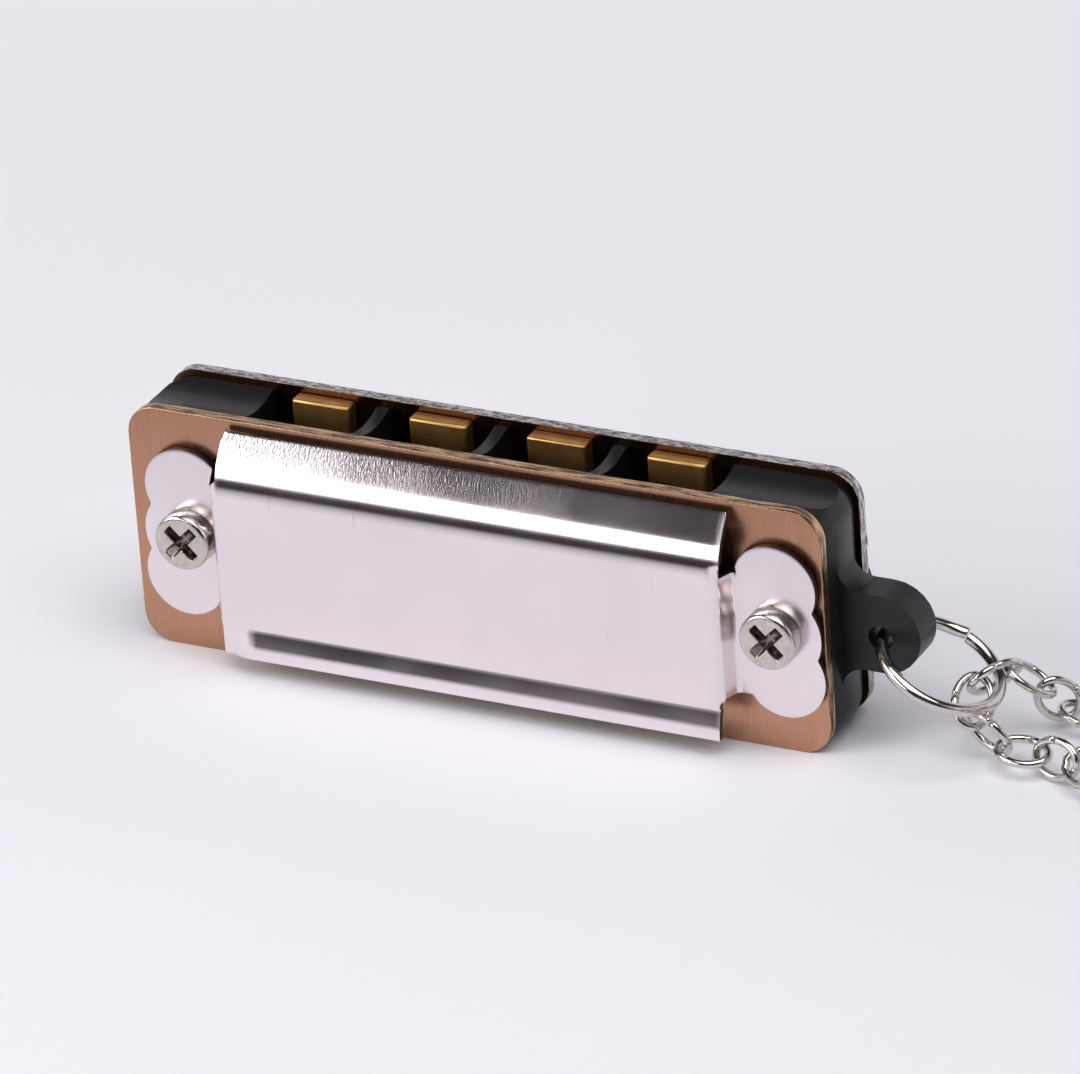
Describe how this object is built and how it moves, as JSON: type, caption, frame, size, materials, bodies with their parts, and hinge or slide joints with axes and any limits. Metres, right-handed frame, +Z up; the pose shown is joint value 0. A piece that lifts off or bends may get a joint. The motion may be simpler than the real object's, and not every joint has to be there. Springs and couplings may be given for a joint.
{
  "type": "mini harmonica pendant",
  "caption": "Pendant harmonica: moulded comb between slotted reed plates with riveted reeds, screwed stamped covers, and a neck chain through a jump ring in the end lug.",
  "frame": {"origin": "middle of the comb's flat rear face, which is the face it stands on", "axes": "+X along the comb towards the hanging lug, +Y from the front cover to the back cover, +Z up to the mouth holes"},
  "size_m": [0.0948, 0.0225, 0.0132],
  "materials": {
    "comb_plastic": "satin black moulded plastic",
    "plate_copper": "copper-brown brushed plate with sheared edges",
    "cover_steel": "bright polished stamped sheet",
    "screw_steel": "bright plated steel",
    "reed_brass": "brass with milled faces",
    "chain_steel": "bright plated wire",
    "tie_paper": "black paper-covered tie"
  },
  "bodies": {
    "harmonica": {"comb": "comb_plastic", "front_reed_plate": "plate_copper", "back_reed_plate": "plate_copper", "front_cover": "cover_steel", "back_cover": "cover_steel", "screw_left": "screw_steel", "screw_right": "screw_steel", "nut_left": "screw_steel", "nut_right": "screw_steel", "blow_reed_heel_1": "reed_brass", "blow_reed_heel_2": "reed_brass", "blow_reed_heel_3": "reed_brass", "blow_reed_heel_4": "reed_brass", "draw_reed_heel_1": "reed_brass", "draw_reed_heel_2": "reed_brass", "draw_reed_heel_3": "reed_brass", "draw_reed_heel_4": "reed_brass", "blow_rivet_1": "reed_brass", "blow_rivet_2": "reed_brass", "blow_rivet_3": "reed_brass", "blow_rivet_4": "reed_brass", "draw_rivet_1": "reed_brass", "draw_rivet_2": "reed_brass", "draw_rivet_3": "reed_brass", "draw_rivet_4": "reed_brass"},
    "blow_tongue_1": {"blow_reed_1": "reed_brass"},
    "blow_tongue_2": {"blow_reed_2": "reed_brass"},
    "blow_tongue_3": {"blow_reed_3": "reed_brass"},
    "blow_tongue_4": {"blow_reed_4": "reed_brass"},
    "draw_tongue_1": {"draw_reed_1": "reed_brass"},
    "draw_tongue_2": {"draw_reed_2": "reed_brass"},
    "draw_tongue_3": {"draw_reed_3": "reed_brass"},
    "draw_tongue_4": {"draw_reed_4": "reed_brass"},
    "ring": {"hanging_ring": "chain_steel"},
    "chain": {"chain_link_1": "chain_steel", "chain_link_2": "chain_steel", "chain_link_3": "chain_steel", "chain_link_4": "chain_steel", "chain_link_5": "chain_steel", "chain_link_6": "chain_steel", "chain_link_7": "chain_steel", "chain_link_8": "chain_steel", "chain_hank": "chain_steel", "hank_tie": "tie_paper"}
  },
  "joints": [
    {"name": "blow_reed_1_flex", "type": "hinge", "parent": "harmonica", "child": "blow_tongue_1", "pos_m": [-0.01001, 0.00173, 0.00965], "axis": [1, 0, 0], "range_deg": [-5, 5], "stiffness_Nm_per_rad": 0.008},
    {"name": "blow_reed_2_flex", "type": "hinge", "parent": "harmonica", "child": "blow_tongue_2", "pos_m": [-0.00347, 0.00173, 0.00965], "axis": [1, 0, 0], "range_deg": [-5, 5], "stiffness_Nm_per_rad": 0.008},
    {"name": "blow_reed_3_flex", "type": "hinge", "parent": "harmonica", "child": "blow_tongue_3", "pos_m": [0.00307, 0.00173, 0.00965], "axis": [1, 0, 0], "range_deg": [-5, 5], "stiffness_Nm_per_rad": 0.008},
    {"name": "blow_reed_4_flex", "type": "hinge", "parent": "harmonica", "child": "blow_tongue_4", "pos_m": [0.00961, 0.00173, 0.00965], "axis": [1, 0, 0], "range_deg": [-5, 5], "stiffness_Nm_per_rad": 0.008},
    {"name": "draw_reed_1_flex", "type": "hinge", "parent": "harmonica", "child": "draw_tongue_1", "pos_m": [-0.01001, -0.00282, 0.00445], "axis": [1, 0, 0], "range_deg": [-5, 5], "stiffness_Nm_per_rad": 0.008},
    {"name": "draw_reed_2_flex", "type": "hinge", "parent": "harmonica", "child": "draw_tongue_2", "pos_m": [-0.00347, -0.00282, 0.00445], "axis": [1, 0, 0], "range_deg": [-5, 5], "stiffness_Nm_per_rad": 0.008},
    {"name": "draw_reed_3_flex", "type": "hinge", "parent": "harmonica", "child": "draw_tongue_3", "pos_m": [0.00307, -0.00282, 0.00445], "axis": [1, 0, 0], "range_deg": [-5, 5], "stiffness_Nm_per_rad": 0.008},
    {"name": "draw_reed_4_flex", "type": "hinge", "parent": "harmonica", "child": "draw_tongue_4", "pos_m": [0.00961, -0.00282, 0.00445], "axis": [1, 0, 0], "range_deg": [-5, 5], "stiffness_Nm_per_rad": 0.008},
    {"name": "ring_swing", "type": "hinge", "parent": "harmonica", "child": "ring", "pos_m": [0.02113, 0, 0.0061], "axis": [0, -1, 0], "range_deg": [0, 45]},
    {"name": "chain_level", "type": "hinge", "parent": "ring", "child": "chain", "pos_m": [0.02595, 0, 0.00339], "axis": [0, -1, 0], "range_deg": [-45, 0]}
  ],
  "couplings": [
    {"joint": "ring_swing", "follows": "chain_level", "ratio": -1}
  ]
}
